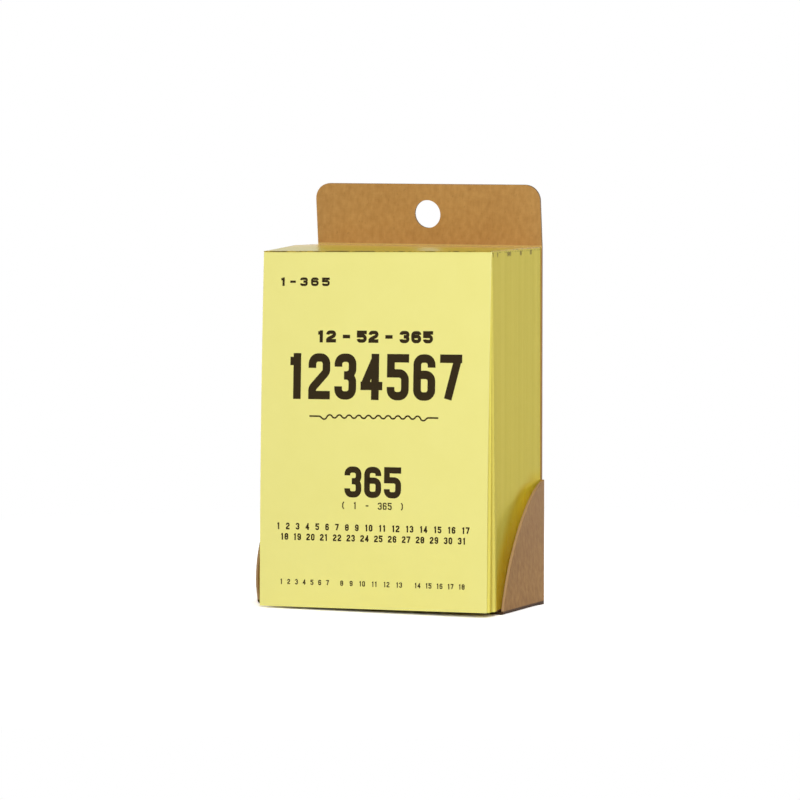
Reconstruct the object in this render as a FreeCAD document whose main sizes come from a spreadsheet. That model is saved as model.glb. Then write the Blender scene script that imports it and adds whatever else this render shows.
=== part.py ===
# Block calendar: a pad of yellow tear-off day leaves, glued along its top edge, standing in a pocket
# that is die-cut from one piece of kraft board, folded and glued, with a hole to hang it by.
#
# Frame, in millimetres: +Z up, the cover looks along -Y, +X to the right of whoever reads it. The
# origin is the point that the calendar hangs by: the hang hole's centre, in the head's front face.
# The sketches are drawn from the foot of the back panel's front face, at the height of the table.

import FreeCAD, Part
import os
import math
import Sketcher

SIZES = [
    ("board", 0.7, "thickness of the kraft board"),
    ("fold_radius", 0.2, "inside radius of each sharp fold in the board"),
    ("crease_radius", 1.0, "inside radius of the soft crease below the hanging head"),
    ("pad_width", 70, "leaf width, which is also the width of the back panel"),
    ("pad_height", 100, "leaf height"),
    ("pad_depth", 35.2, "all the leaves at the glued edge, without the cover"),
    ("pad_clearance", 0.2, "gap from the pad to the back panel and to each ear"),
    ("head_length", 17.6, "hanging head, from the crease to its top edge"),
    ("head_lean", 5.6, "degrees that the head leans forward over the pad"),
    ("head_corner_radius", 4.5, "rounded top corners of the head"),
    ("hole_diameter", 8, "hang hole"),
    ("hole_below_top", 8.6, "centre of the hang hole, down from the head's top edge"),
    ("front_overhang", 3.9, "leaves that stand out past the front edge of the pocket's floor"),
    ("ear_height", 35.4, "top of the ears, where they leave the back panel"),
    ("ear_bulge", 8.5, "rise of an ear's curved front edge above its chord"),
    ("right_splay_foot", 1.7, "degrees that the right ear opens past square, at its foot"),
    ("right_splay_top", 7.3, "the same at its top"),
    ("left_splay_foot", 6.6, "degrees that the left ear opens past square, at its foot"),
    ("left_splay_top", 14.8, "the same at its top"),
    ("flap_reach", 22.5, "glue flap folded in under the floor from the foot of each ear"),
    ("flap_setback", 3, "from the fold of the back panel to the near end of a glue flap"),
    ("flap_taper", 3, "how much each end of a glue flap slants"),
    ("toe_gap", 0.05, "from the table up to the front leaves' left foot, which slumps off the floor"),
    ("slump_start", 16, "depth in the pad at which the left side of its top begins to slump"),
    ("block_splay", 2.2, "how far the block's front face stands forward at the foot"),
    ("loose_leaves", 0.6, "thickness of the few loose leaves in front of the block"),
    ("loose_splay", 5.6, "how far the loose leaves stand forward at the foot"),
    ("glued_root", 0.2, "depth that the loose leaves share with the block at the glued edge"),
    ("cover_thickness", 0.25, "front cover sheet"),
    ("cover_splay", 6.1, "how far the cover stands forward at the foot"),
    ("cover_clearance", 0.1, "from the cover's top edge to the leaves behind it and to the glue over it"),
    ("sheet_bow", 1.2, "forward bow of the cover and of the loose leaves between top and foot"),
    ("glue_edge", 0.25, "padding glue along the front and back edges of the pad's top"),
    ("glue_crown", 0.6, "padding glue over the middle of the pad's top"),
]

# Places that several pieces share, as formulas on the sheet.
FLOOR_TOP = "(2 * Sizes.board)"  # the floor lies on the two glue flaps
PAD_TOP = f"({FLOOR_TOP} + Sizes.pad_height)"
PAD_FRONT = "(Sizes.pad_clearance + Sizes.pad_depth)"
BLOCK_FRONT = f"({PAD_FRONT} - Sizes.loose_leaves)"
LOOSE_ROOT = f"({BLOCK_FRONT} - Sizes.glued_root)"
COVER_BACK = f"({PAD_FRONT} + Sizes.cover_clearance)"
FLOOR_REACH = f"({PAD_FRONT} - Sizes.front_overhang)"
OUTER_RADIUS = "(Sizes.fold_radius + Sizes.board)"
CREASE_OUTER = "(Sizes.crease_radius + Sizes.board)"
EAR_REACH = f"({FLOOR_REACH} - Sizes.fold_radius)"  # along the ear, from the centre of its fold
HALF_WIDTH = "(Sizes.pad_width / 2)"
HEAD_FOOT_Y = "(Sizes.crease_radius * (cos(Sizes.head_lean) - 1))"
HEAD_FOOT_Z = f"({PAD_TOP} + Sizes.crease_radius * sin(Sizes.head_lean))"
HOLE_UP = "(Sizes.head_length - Sizes.hole_below_top)"  # along the head, from its foot
HOLE_Y = f"({HEAD_FOOT_Y} - {HOLE_UP} * sin(Sizes.head_lean))"
HOLE_Z = f"({HEAD_FOOT_Z} + {HOLE_UP} * cos(Sizes.head_lean))"
SLUMP = f"({FLOOR_TOP} - Sizes.toe_gap)"  # of the front leaves' left side
SLUMP_TURN = f"asin({SLUMP} / Sizes.pad_width)"  # in the leaves' own plane
SAG_AT_FLOOR_EDGE = f"({SLUMP} * ({FLOOR_REACH} - Sizes.slump_start) / ({LOOSE_ROOT} - Sizes.slump_start))"
BLOCK_LEAN = "atan(Sizes.block_splay / Sizes.pad_height)"

doc = FreeCAD.newDocument("BlockCalendar")
sheet = doc.addObject("Spreadsheet::Sheet", "Sizes")
for row, (alias, number, note) in enumerate(SIZES, start=1):
    sheet.set(f"A{row}", alias)
    sheet.set(f"B{row}", str(number))
    sheet.set(f"C{row}", note)
    sheet.setAlias(f"B{row}", alias)
doc.recompute()


def number(formula):
    """What a formula on the sheet gives now, for the first drawing of a sketch."""
    result = sheet.evalExpression(formula)
    return float(getattr(result, "Value", result))


def new_body(label):
    """A body placed so that the part's origin comes to the centre of the hang hole."""
    body = doc.addObject("PartDesign::Body", label)
    body.Label = label
    body.setExpression("Placement", f"placement(vector(0; -{HOLE_Y}; -{HOLE_Z}); rotation(0; 0; 0))")
    return body


def new_sketch(body, name, role, offset=None, turn=("0", "0", "0")):
    """A sketch on an origin plane of its own body, set off by x, y, z and turned by yaw, pitch, roll."""
    sketch = body.newObject("Sketcher::SketchObject", name)
    plane = next(p for p in body.Origin.OriginFeatures if p.Role == role)
    sketch.AttachmentSupport = [(plane, "")]
    sketch.MapMode = "FlatFace"
    if offset:
        place = f"placement(vector({'; '.join(offset)}); rotation({'; '.join(turn)}))"
        sketch.setExpression("AttachmentOffset", place)
    return sketch


def line(sketch, start, end):
    a = FreeCAD.Vector(*start, 0)
    b = FreeCAD.Vector(*end, 0)
    return sketch.addGeometry(Part.LineSegment(a, b), False)


def arc(sketch, centre, radius, start_deg, end_deg):
    """An arc drawn counter-clockwise from one angle to the other."""
    circle = Part.Circle(FreeCAD.Vector(*centre, 0), FreeCAD.Vector(0, 0, 1), radius)
    ends = math.radians(start_deg), math.radians(end_deg)
    return sketch.addGeometry(Part.ArcOfCircle(circle, *ends), False)


def rule(sketch, kind, *where):
    sketch.addConstraint(Sketcher.Constraint(kind, *where))


def measure(sketch, kind, *where, is_):
    """A dimension that a formula on the sheet drives."""
    index = sketch.addConstraint(Sketcher.Constraint(kind, *where, number(is_)))
    sketch.setExpression(f"Constraints[{index}]", is_)


START, END, CENTRE = 1, 2, 3
ORIGIN = (-1, 1)
X_AXIS, Y_AXIS = -1, -2


def pad(body, name, sketch, length, back=False, midplane=False):
    feature = body.newObject("PartDesign::Pad", name)
    feature.Profile = sketch
    feature.setExpression("Length", length)
    feature.Reversed = back
    feature.Midplane = midplane
    return feature


def loft(body, name, sections):
    feature = body.newObject("PartDesign::AdditiveLoft", name)
    feature.Profile = sections[0]
    feature.Sections = sections[1:]
    feature.Ruled = True
    return feature


# Holder --------------------------------------------------------------------------------------------


def floor_and_back(body):
    """Side view of the bent board: floor, sharp fold, upright back, and the soft crease at the top."""
    s = new_sketch(body, "FloorAndBackProfile", "YZ_Plane")
    reach, top, crease = number(FLOOR_REACH), number(FLOOR_TOP), number(PAD_TOP)
    board, fold, fold_outer = number("Sizes.board"), number("Sizes.fold_radius"), number(OUTER_RADIUS)
    soft, soft_outer = number("Sizes.crease_radius"), number(CREASE_OUTER)
    lean = number("Sizes.head_lean")
    along, across = math.cos(math.radians(lean)), math.sin(math.radians(lean))
    crease_front = (soft * (along - 1), crease + soft * across)
    crease_back = (soft_outer * along - soft, crease + soft_outer * across)
    floor_upper = line(s, (-reach, top), (-fold, top))
    fold_in = arc(s, (-fold, top + fold), fold, -90, 0)
    back_front = line(s, (0, top + fold), (0, crease))
    crease_in = arc(s, (-soft, crease), soft, 0, lean)
    seam = line(s, crease_front, crease_back)
    crease_out = arc(s, (-soft, crease), soft_outer, 0, lean)
    back_rear = line(s, (board, crease), (board, top + fold))
    fold_out = arc(s, (-fold, top + fold), fold_outer, -90, 0)
    floor_under = line(s, (-fold, top - board), (-reach, top - board))
    floor_edge = line(s, (-reach, top - board), (-reach, top))
    rule(s, "Coincident", floor_upper, END, fold_in, START)
    rule(s, "Coincident", fold_in, END, back_front, START)
    rule(s, "Coincident", back_front, END, crease_in, START)
    rule(s, "Coincident", crease_in, END, seam, START)
    rule(s, "Coincident", seam, END, crease_out, END)
    rule(s, "Coincident", crease_out, START, back_rear, START)
    rule(s, "Coincident", back_rear, END, fold_out, END)
    rule(s, "Coincident", fold_out, START, floor_under, START)
    rule(s, "Coincident", floor_under, END, floor_edge, START)
    rule(s, "Coincident", floor_edge, END, floor_upper, START)
    rule(s, "Coincident", fold_in, CENTRE, fold_out, CENTRE)
    rule(s, "Coincident", crease_in, CENTRE, crease_out, CENTRE)
    for level in (floor_upper, floor_under):
        rule(s, "Horizontal", level)
    for upright in (back_front, floor_edge):
        rule(s, "Vertical", upright)
    for fold_arc in (fold_in, fold_out):
        rule(s, "Vertical", fold_arc, START, fold_arc, CENTRE)
        rule(s, "Horizontal", fold_arc, END, fold_arc, CENTRE)
    for crease_arc in (crease_in, crease_out):
        rule(s, "Horizontal", crease_arc, START, crease_arc, CENTRE)
    rule(s, "PointOnObject", crease_in, CENTRE, seam)
    rule(s, "PointOnObject", back_front, END, Y_AXIS)
    measure(s, "Radius", fold_in, is_="Sizes.fold_radius")
    measure(s, "Radius", fold_out, is_=OUTER_RADIUS)
    measure(s, "Radius", crease_in, is_="Sizes.crease_radius")
    measure(s, "Radius", crease_out, is_=CREASE_OUTER)
    measure(s, "Angle", crease_in, is_="Sizes.head_lean")
    measure(s, "DistanceY", *ORIGIN, floor_upper, END, is_=FLOOR_TOP)
    measure(s, "DistanceY", *ORIGIN, back_front, END, is_=PAD_TOP)
    measure(s, "DistanceX", floor_edge, START, *ORIGIN, is_=FLOOR_REACH)
    pad(body, "FloorAndBack", s, "Sizes.pad_width", midplane=True)


def hanging_head(body):
    """The head above the crease: a plate with two rounded corners and the hang hole."""
    foot_at = ("0", HEAD_FOOT_Z, f"-{HEAD_FOOT_Y}")
    s = new_sketch(body, "HeadOutline", "XZ_Plane", foot_at, ("0", "0", "Sizes.head_lean"))
    half, length = number(HALF_WIDTH), number("Sizes.head_length")
    radius = number("Sizes.head_corner_radius")
    inner, side_top = half - radius, length - radius
    foot = line(s, (-half, 0), (half, 0))
    right = line(s, (half, 0), (half, side_top))
    right_corner = arc(s, (inner, side_top), radius, 0, 90)
    top = line(s, (inner, length), (-inner, length))
    left_corner = arc(s, (-inner, side_top), radius, 90, 180)
    left = line(s, (-half, side_top), (-half, 0))
    hole_centre = FreeCAD.Vector(0, number(HOLE_UP), 0)
    hole_radius = number("Sizes.hole_diameter") / 2
    hole = s.addGeometry(Part.Circle(hole_centre, FreeCAD.Vector(0, 0, 1), hole_radius), False)
    edges = [foot, right, right_corner, top, left_corner, left]
    for edge, after in zip(edges, edges[1:] + edges[:1]):
        rule(s, "Coincident", edge, END, after, START)
    for upright in (right, left):
        rule(s, "Vertical", upright)
    rule(s, "Horizontal", top)
    rule(s, "Horizontal", right_corner, START, right_corner, CENTRE)
    rule(s, "Vertical", right_corner, END, right_corner, CENTRE)
    rule(s, "Vertical", left_corner, START, left_corner, CENTRE)
    rule(s, "Horizontal", left_corner, END, left_corner, CENTRE)
    rule(s, "Equal", right_corner, left_corner)
    rule(s, "Symmetric", foot, START, foot, END, *ORIGIN)
    rule(s, "PointOnObject", foot, START, X_AXIS)
    rule(s, "PointOnObject", hole, CENTRE, Y_AXIS)
    measure(s, "Radius", right_corner, is_="Sizes.head_corner_radius")
    measure(s, "DistanceX", foot, START, foot, END, is_="Sizes.pad_width")
    measure(s, "DistanceY", *ORIGIN, top, START, is_="Sizes.head_length")
    measure(s, "DistanceY", *ORIGIN, hole, CENTRE, is_=HOLE_UP)
    measure(s, "Diameter", hole, is_="Sizes.hole_diameter")
    pad(body, "HangingHead", s, "Sizes.board", back=True)


def at_ear_fold(side, height):
    """Where plan views of an ear are drawn: round the centre of its upright fold, mirrored if left."""
    if side == "right":
        return (HALF_WIDTH, "-Sizes.fold_radius", height), ("0", "0", "0")
    return (f"-{HALF_WIDTH}", "-Sizes.fold_radius", height), ("0", "180", "0")


def ear_fold(body, name, side, splay):
    """The upright fold between the back panel and an ear, which opens a little past square."""
    s = new_sketch(body, f"{name}Profile", "XY_Plane", *at_ear_fold(side, "0"))
    inner, outer, open_by = number("Sizes.fold_radius"), number(OUTER_RADIUS), number(splay)
    across = math.cos(math.radians(open_by)), math.sin(math.radians(open_by))
    root = line(s, (0, inner), (0, outer))
    fold_out = arc(s, (0, 0), outer, open_by, 90)
    ear_side = line(s, (outer * across[0], outer * across[1]), (inner * across[0], inner * across[1]))
    fold_in = arc(s, (0, 0), inner, open_by, 90)
    rule(s, "Coincident", root, END, fold_out, END)
    rule(s, "Coincident", fold_out, START, ear_side, START)
    rule(s, "Coincident", ear_side, END, fold_in, START)
    rule(s, "Coincident", fold_in, END, root, START)
    for fold, radius in ((fold_out, OUTER_RADIUS), (fold_in, "Sizes.fold_radius")):
        rule(s, "Coincident", fold, CENTRE, *ORIGIN)
        rule(s, "PointOnObject", fold, END, Y_AXIS)
        measure(s, "Radius", fold, is_=radius)
        measure(s, "DistanceX", *ORIGIN, fold, START, is_=f"{radius} * cos({splay})")
    pad(body, name, s, "Sizes.ear_height", back=side == "left")


def ear_section(body, name, side, height, foot, splay, reach=EAR_REACH):
    """Plan view of the flat of an ear: its root stays at the fold and its far end swings out."""
    s = new_sketch(body, name, "XY_Plane", *at_ear_fold(side, height))
    root_x, root_y = f"cos({foot})", f"sin({foot})"
    inner, outer = "Sizes.fold_radius", OUTER_RADIUS
    corners = [
        (f"{inner} * {root_x}", f"{inner} * {root_y}"),
        (f"{outer} * {root_x}", f"{outer} * {root_y}"),
        (
            f"{inner} * {root_x} + {reach} * sin({splay}) + Sizes.board * cos({splay})",
            f"{reach} * cos({splay}) - {inner} * {root_y} - Sizes.board * sin({splay})",
        ),
        (
            f"{inner} * {root_x} + {reach} * sin({splay})",
            f"{reach} * cos({splay}) - {inner} * {root_y}",
        ),
    ]
    at = [(number(x), number(y)) for x, y in corners]
    at[2:] = [(x, -y) for x, y in at[2:]]
    edges = [line(s, a, b) for a, b in zip(at, at[1:] + at[:1])]
    for edge, after in zip(edges, edges[1:] + edges[:1]):
        rule(s, "Coincident", edge, END, after, START)
    for edge, (x, y) in zip(edges, corners):
        measure(s, "DistanceX", *ORIGIN, edge, START, is_=x)
        forward = edge in edges[2:]
        ends = (edge, START, *ORIGIN) if forward else (*ORIGIN, edge, START)
        measure(s, "DistanceY", *ends, is_=y)
    return s


def ear(body, side):
    """One ear, folded forward from the back panel, and the glue flap folded in from its foot."""
    name = side.capitalize()
    foot, top = f"Sizes.{side}_splay_foot", f"Sizes.{side}_splay_top"
    sign = "" if side == "right" else "-"
    flap_fold = "(Sizes.board + Sizes.fold_radius)"
    ear_fold(body, f"{name}EarFold", side, foot)
    low = ear_section(body, f"{name}EarFoot", side, flap_fold, foot, foot)
    high = ear_section(body, f"{name}EarTop", side, "Sizes.ear_height", foot, top)
    loft(body, f"{name}Ear", [low, high])

    # Behind the flap's near end the ear reaches down to the table.
    heel = ear_section(body, f"{name}HeelOutline", side, "0", foot, foot, "Sizes.flap_setback")
    pad(body, f"{name}Heel", heel, flap_fold, back=side == "left")

    # The curved front edge is cut away in side view, from the board's thickness up.
    s = new_sketch(body, f"{name}EarCurve", "YZ_Plane", ("0", "0", f"{sign}{HALF_WIDTH}"))
    reach, height, lip = number(FLOOR_REACH), number("Sizes.ear_height"), number("Sizes.board")
    bulge = number("Sizes.ear_bulge")
    rise = height - lip
    chord = math.hypot(reach, rise)
    radius = chord**2 / (8 * bulge) + bulge / 2
    inward = radius - bulge
    centre = (-reach / 2 + inward * rise / chord, lip + rise / 2 - inward * reach / chord)
    low_deg = math.degrees(math.atan2(height - centre[1], -centre[0]))
    high_deg = math.degrees(math.atan2(lip - centre[1], -reach - centre[0])) % 360
    curve = arc(s, centre, radius, low_deg, high_deg)
    up = line(s, (0, height), (0, height + lip))
    over = line(s, (0, height + lip), (-reach - lip, height + lip))
    down = line(s, (-reach - lip, height + lip), (-reach - lip, lip))
    under = line(s, (-reach - lip, lip), (-reach, lip))
    rule(s, "Coincident", curve, START, up, START)
    for edge, after in ((up, over), (over, down), (down, under)):
        rule(s, "Coincident", edge, END, after, START)
    rule(s, "Coincident", under, END, curve, END)
    for upright in (up, down):
        rule(s, "Vertical", upright)
    for level in (over, under):
        rule(s, "Horizontal", level)
    rule(s, "PointOnObject", up, START, Y_AXIS)
    ear_rise = "(Sizes.ear_height - Sizes.board)"
    ear_chord = f"({FLOOR_REACH} ^ 2 + {ear_rise} ^ 2)"
    measure(s, "Radius", curve, is_=f"{ear_chord} / (8 * Sizes.ear_bulge) + Sizes.ear_bulge / 2")
    measure(s, "DistanceY", *ORIGIN, curve, START, is_="Sizes.ear_height")
    measure(s, "DistanceX", curve, END, *ORIGIN, is_=FLOOR_REACH)
    measure(s, "DistanceY", *ORIGIN, curve, END, is_="Sizes.board")
    measure(s, "DistanceY", up, START, up, END, is_="Sizes.board")
    measure(s, "DistanceX", under, START, under, END, is_="Sizes.board")
    cut = body.newObject("PartDesign::Pocket", f"{name}EarFrontCut")
    cut.Profile = s
    cut.setExpression("Length", FLOOR_REACH)
    cut.Reversed = side == "right"

    # The fold at the ear's foot, swept along the ear from the flap's near end.
    pitch = foot if side == "right" else f"180 - {foot}"
    start_x = f"{sign}({HALF_WIDTH} + Sizes.flap_setback * sin({foot}))"
    start_y = f"Sizes.fold_radius + Sizes.flap_setback * cos({foot})"
    s = new_sketch(body, f"{name}FootFoldProfile", "XZ_Plane", (start_x, flap_fold, start_y), ("0", pitch, "0"))
    inner, outer = number("Sizes.fold_radius"), number(OUTER_RADIUS)
    fold_out = arc(s, (0, 0), outer, -90, 0)
    fold_in = arc(s, (0, 0), inner, -90, 0)
    ear_side = line(s, (inner, 0), (outer, 0))
    flap_side = line(s, (0, -inner), (0, -outer))
    for fold, radius in ((fold_out, OUTER_RADIUS), (fold_in, "Sizes.fold_radius")):
        rule(s, "Coincident", fold, CENTRE, *ORIGIN)
        measure(s, "Radius", fold, is_=radius)
        rule(s, "PointOnObject", fold, START, Y_AXIS)
        rule(s, "PointOnObject", fold, END, X_AXIS)
    rule(s, "Coincident", fold_in, END, ear_side, START)
    rule(s, "Coincident", fold_out, END, ear_side, END)
    rule(s, "Coincident", fold_in, START, flap_side, START)
    rule(s, "Coincident", fold_out, START, flap_side, END)
    pad(body, f"{name}FootFold", s, f"{EAR_REACH} - Sizes.flap_setback", back=side == "left")

    # The flap itself, flat on the table below the floor, with both ends slanted.
    yaw = foot if side == "right" else f"180 - {foot}"
    roll = "0" if side == "right" else "180"
    centre_at = (f"{sign}{HALF_WIDTH}", "-Sizes.fold_radius", "0")
    s = new_sketch(body, f"{name}FlapOutline", "XY_Plane", centre_at, (yaw, "0", roll))
    far, near, reach_in = number(EAR_REACH), number("Sizes.flap_setback"), number("Sizes.flap_reach")
    taper = number("Sizes.flap_taper")
    fold_line = line(s, (0, -near), (0, -far))
    front = line(s, (0, -far), (-reach_in, taper - far))
    end = line(s, (-reach_in, taper - far), (-reach_in, -near - taper))
    rear = line(s, (-reach_in, -near - taper), (0, -near))
    edges = [fold_line, front, end, rear]
    for edge, after in zip(edges, edges[1:] + edges[:1]):
        rule(s, "Coincident", edge, END, after, START)
    rule(s, "PointOnObject", fold_line, START, Y_AXIS)
    rule(s, "Vertical", fold_line)
    rule(s, "Vertical", end)
    measure(s, "DistanceY", fold_line, START, *ORIGIN, is_="Sizes.flap_setback")
    measure(s, "DistanceY", fold_line, END, *ORIGIN, is_=EAR_REACH)
    measure(s, "DistanceX", front, END, *ORIGIN, is_="Sizes.flap_reach")
    measure(s, "DistanceY", end, END, fold_line, START, is_="Sizes.flap_taper")
    measure(s, "DistanceY", fold_line, END, end, START, is_="Sizes.flap_taper")
    pad(body, f"{name}Flap", s, "Sizes.board", back=side == "left")


# Pad -----------------------------------------------------------------------------------------------


def pad_section(body, name, depth, height, upward=False, slumped=False, lean="0", sag=None):
    """Front view of the pad, or of the glue on it, at one depth, hung from its top right corner.

    Slumped leaves are turned whole about that corner. Leaves that still stand on the floor only sag
    along the top, towards the left.
    """
    turn = (SLUMP_TURN if slumped else "0", "0", f"-{lean}")
    s = new_sketch(body, name, "XZ_Plane", (HALF_WIDTH, PAD_TOP, depth), turn)
    width, drop = number("Sizes.pad_width"), number(sag) if sag else 0
    far = number(height) if upward else -number(height)
    far_drop = drop if upward else 0
    top = line(s, (0, 0), (-width, -drop))
    left = line(s, (-width, -drop), (-width, far - far_drop))
    low = line(s, (-width, far - far_drop), (0, far))
    right = line(s, (0, far), (0, 0))
    edges = [top, left, low, right]
    for edge, after in zip(edges, edges[1:] + edges[:1]):
        rule(s, "Coincident", edge, END, after, START)
    rule(s, "Coincident", top, START, *ORIGIN)
    for upright in (left, right):
        rule(s, "Vertical", upright)
    if sag:
        measure(s, "DistanceY", top, END, top, START, is_=sag)
    else:
        rule(s, "Horizontal", top)
    if upward and sag:
        rule(s, "Parallel", low, top)
    else:
        rule(s, "Horizontal", low)
    measure(s, "DistanceX", top, END, top, START, is_="Sizes.pad_width")
    ends = (right, END, right, START) if upward else (right, START, right, END)
    measure(s, "DistanceY", *ends, is_=height)
    return s


def bowed_sheet(body, name, depth, thickness, splay, top=PAD_TOP):
    """A leaf, or a few, bowed forward and standing forward at the foot, seen from its right edge."""
    turn = ("0", "0", f"-{SLUMP_TURN}")
    s = new_sketch(body, f"{name}Profile", "YZ_Plane", (f"-{depth}", top, HALF_WIDTH), turn)
    height, bow, out = number("Sizes.pad_height"), number("Sizes.sheet_bow"), number(splay)
    thick = number(thickness)
    radius = height**2 / (8 * bow) + bow / 2
    drop = math.sqrt(height**2 - out**2)
    sink = (radius - bow) / height
    centre = (-out / 2 + sink * drop, -drop / 2 - sink * out)
    top_deg = math.degrees(math.atan2(-centre[1], -centre[0]))
    foot_deg = math.degrees(math.atan2(-drop - centre[1], -out - centre[0])) % 360
    across = math.cos(math.radians(foot_deg)), math.sin(math.radians(foot_deg))
    foot_out = (centre[0] + (radius + thick) * across[0], centre[1] + (radius + thick) * across[1])
    rear = arc(s, centre, radius, top_deg, foot_deg)
    front = arc(s, centre, radius + thick, top_deg, foot_deg)
    top = line(s, (0, 0), (-thick, 0))
    foot = line(s, (-out, -drop), foot_out)
    rule(s, "Coincident", rear, START, *ORIGIN)
    rule(s, "Coincident", top, START, *ORIGIN)
    rule(s, "Coincident", top, END, front, START)
    rule(s, "Horizontal", top)
    rule(s, "Coincident", rear, END, foot, START)
    rule(s, "Coincident", front, END, foot, END)
    rule(s, "Coincident", rear, CENTRE, front, CENTRE)
    rule(s, "PointOnObject", rear, CENTRE, foot)
    bow_radius = "Sizes.pad_height ^ 2 / (8 * Sizes.sheet_bow) + Sizes.sheet_bow / 2"
    measure(s, "Radius", rear, is_=bow_radius)
    measure(s, "Radius", front, is_=f"{bow_radius} + {thickness}")
    measure(s, "DistanceX", rear, END, *ORIGIN, is_=splay)
    measure(s, "DistanceY", rear, END, *ORIGIN, is_=f"sqrt(Sizes.pad_height ^ 2 - {splay} ^ 2)")
    pad(body, name, s, "Sizes.pad_width", back=True)


def make_holder():
    body = new_body("holder")
    floor_and_back(body)
    hanging_head(body)
    for side in ("right", "left"):
        ear(body, side)
    return body


def make_leaf_block():
    """Leaves on the floor stand upright, those in front of its edge slump, and the last ones splay."""
    body = new_body("leaf_block")
    tall = "Sizes.pad_height"
    stations = [
        pad_section(body, "LeavesAtBack", "Sizes.pad_clearance", tall),
        pad_section(body, "LeavesAtSlumpStart", "Sizes.slump_start", tall),
        pad_section(body, "LeavesAtFloorEdge", FLOOR_REACH, tall, sag=SAG_AT_FLOOR_EDGE),
        pad_section(body, "LeavesAtRoot", LOOSE_ROOT, tall, slumped=True),
        pad_section(body, "LeavesAtFront", BLOCK_FRONT, tall, slumped=True, lean=BLOCK_LEAN),
    ]
    loft(body, "Block", stations)
    thickness = "(Sizes.loose_leaves + Sizes.glued_root)"
    bowed_sheet(body, "LooseLeaves", LOOSE_ROOT, thickness, "Sizes.loose_splay")
    return body


def make_front_cover():
    body = new_body("front_cover")
    top = f"({PAD_TOP} - Sizes.cover_clearance)"
    bowed_sheet(body, "Cover", COVER_BACK, "Sizes.cover_thickness", "Sizes.cover_splay", top)
    return body


def make_glue_binding():
    """The film of padding glue over the top edges of all the leaves and of the cover."""
    body = new_body("glue_binding")
    cover_front = f"({COVER_BACK} + Sizes.cover_thickness)"
    edge, crown = "Sizes.glue_edge", "Sizes.glue_crown"
    stations = [
        pad_section(body, "GlueAtBack", "Sizes.pad_clearance", edge, upward=True),
        pad_section(body, "GlueAtSlumpStart", "Sizes.slump_start", crown, upward=True),
        pad_section(body, "GlueAtFloorEdge", FLOOR_REACH, edge, upward=True, sag=SAG_AT_FLOOR_EDGE),
        pad_section(body, "GlueAtRoot", LOOSE_ROOT, edge, upward=True, slumped=True),
        pad_section(body, "GlueAtCover", cover_front, edge, upward=True, slumped=True),
    ]
    loft(body, "Glue", stations)
    return body


pieces = [make_holder(), make_leaf_block(), make_glue_binding(), make_front_cover()]
doc.recompute()

for item in doc.Objects:
    if "Invalid" in item.State or "Error" in item.State:
        raise RuntimeError(f"{item.Name} failed: {item.State}")
for piece in pieces:
    if piece.Shape.isNull() or not piece.Shape.isValid() or len(piece.Shape.Solids) != 1:
        raise RuntimeError(f"{piece.Label} is not one valid solid")

os.makedirs("parts", exist_ok=True)
for piece in pieces:
    piece.Shape.exportStep(f"parts/{piece.Label}.step")
    box = piece.Shape.BoundBox
    print(f"{piece.Label}: {piece.Shape.Volume:.1f} mm3, "
          f"x {box.XMin:.2f} to {box.XMax:.2f}, y {box.YMin:.2f} to {box.YMax:.2f}, "
          f"z {box.ZMin:.2f} to {box.ZMax:.2f}")
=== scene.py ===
"""A block calendar: a pad of day leaves, glued along the top, in a folded kraft board holder."""

import math

import bpy
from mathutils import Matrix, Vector


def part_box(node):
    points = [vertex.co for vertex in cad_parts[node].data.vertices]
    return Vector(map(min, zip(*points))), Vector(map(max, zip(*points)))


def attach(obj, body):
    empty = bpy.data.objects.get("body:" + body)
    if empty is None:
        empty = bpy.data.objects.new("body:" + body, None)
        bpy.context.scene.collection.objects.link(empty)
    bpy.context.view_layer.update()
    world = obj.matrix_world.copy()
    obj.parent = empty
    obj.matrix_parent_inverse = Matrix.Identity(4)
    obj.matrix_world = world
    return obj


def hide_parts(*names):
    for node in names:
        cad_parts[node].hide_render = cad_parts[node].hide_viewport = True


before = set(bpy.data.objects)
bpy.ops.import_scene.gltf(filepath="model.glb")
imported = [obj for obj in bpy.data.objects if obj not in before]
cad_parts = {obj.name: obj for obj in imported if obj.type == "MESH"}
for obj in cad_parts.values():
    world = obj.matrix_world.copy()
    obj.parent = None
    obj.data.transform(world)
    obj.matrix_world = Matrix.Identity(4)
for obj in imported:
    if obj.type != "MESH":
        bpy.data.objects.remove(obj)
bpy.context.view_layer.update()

mm = 0.001


# ---- The holder ----
# One die-cut sheet of plain kraft board. A back panel carries the hang hole in its head, two
# splayed ears hold the pad's sides, and the floor folds forward over the ears' two glue flaps.
# The solid keeps its own mesh, and here it gets its board: a greyer outer side and cut edges.
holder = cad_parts["holder"]
pad_gap = 0.2 * mm  # in front of the back panel, and inside the glue solid's right side
pad_settling = 0.22 * mm  # of the leaves, below the top of their solid
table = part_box("holder")[0].z
ear_top = table + 35.4 * mm
panel_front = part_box("glue_binding")[1].y + pad_gap
pad_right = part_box("glue_binding")[1].x - pad_gap
pad_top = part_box("leaf_block")[1].z - pad_settling


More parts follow.
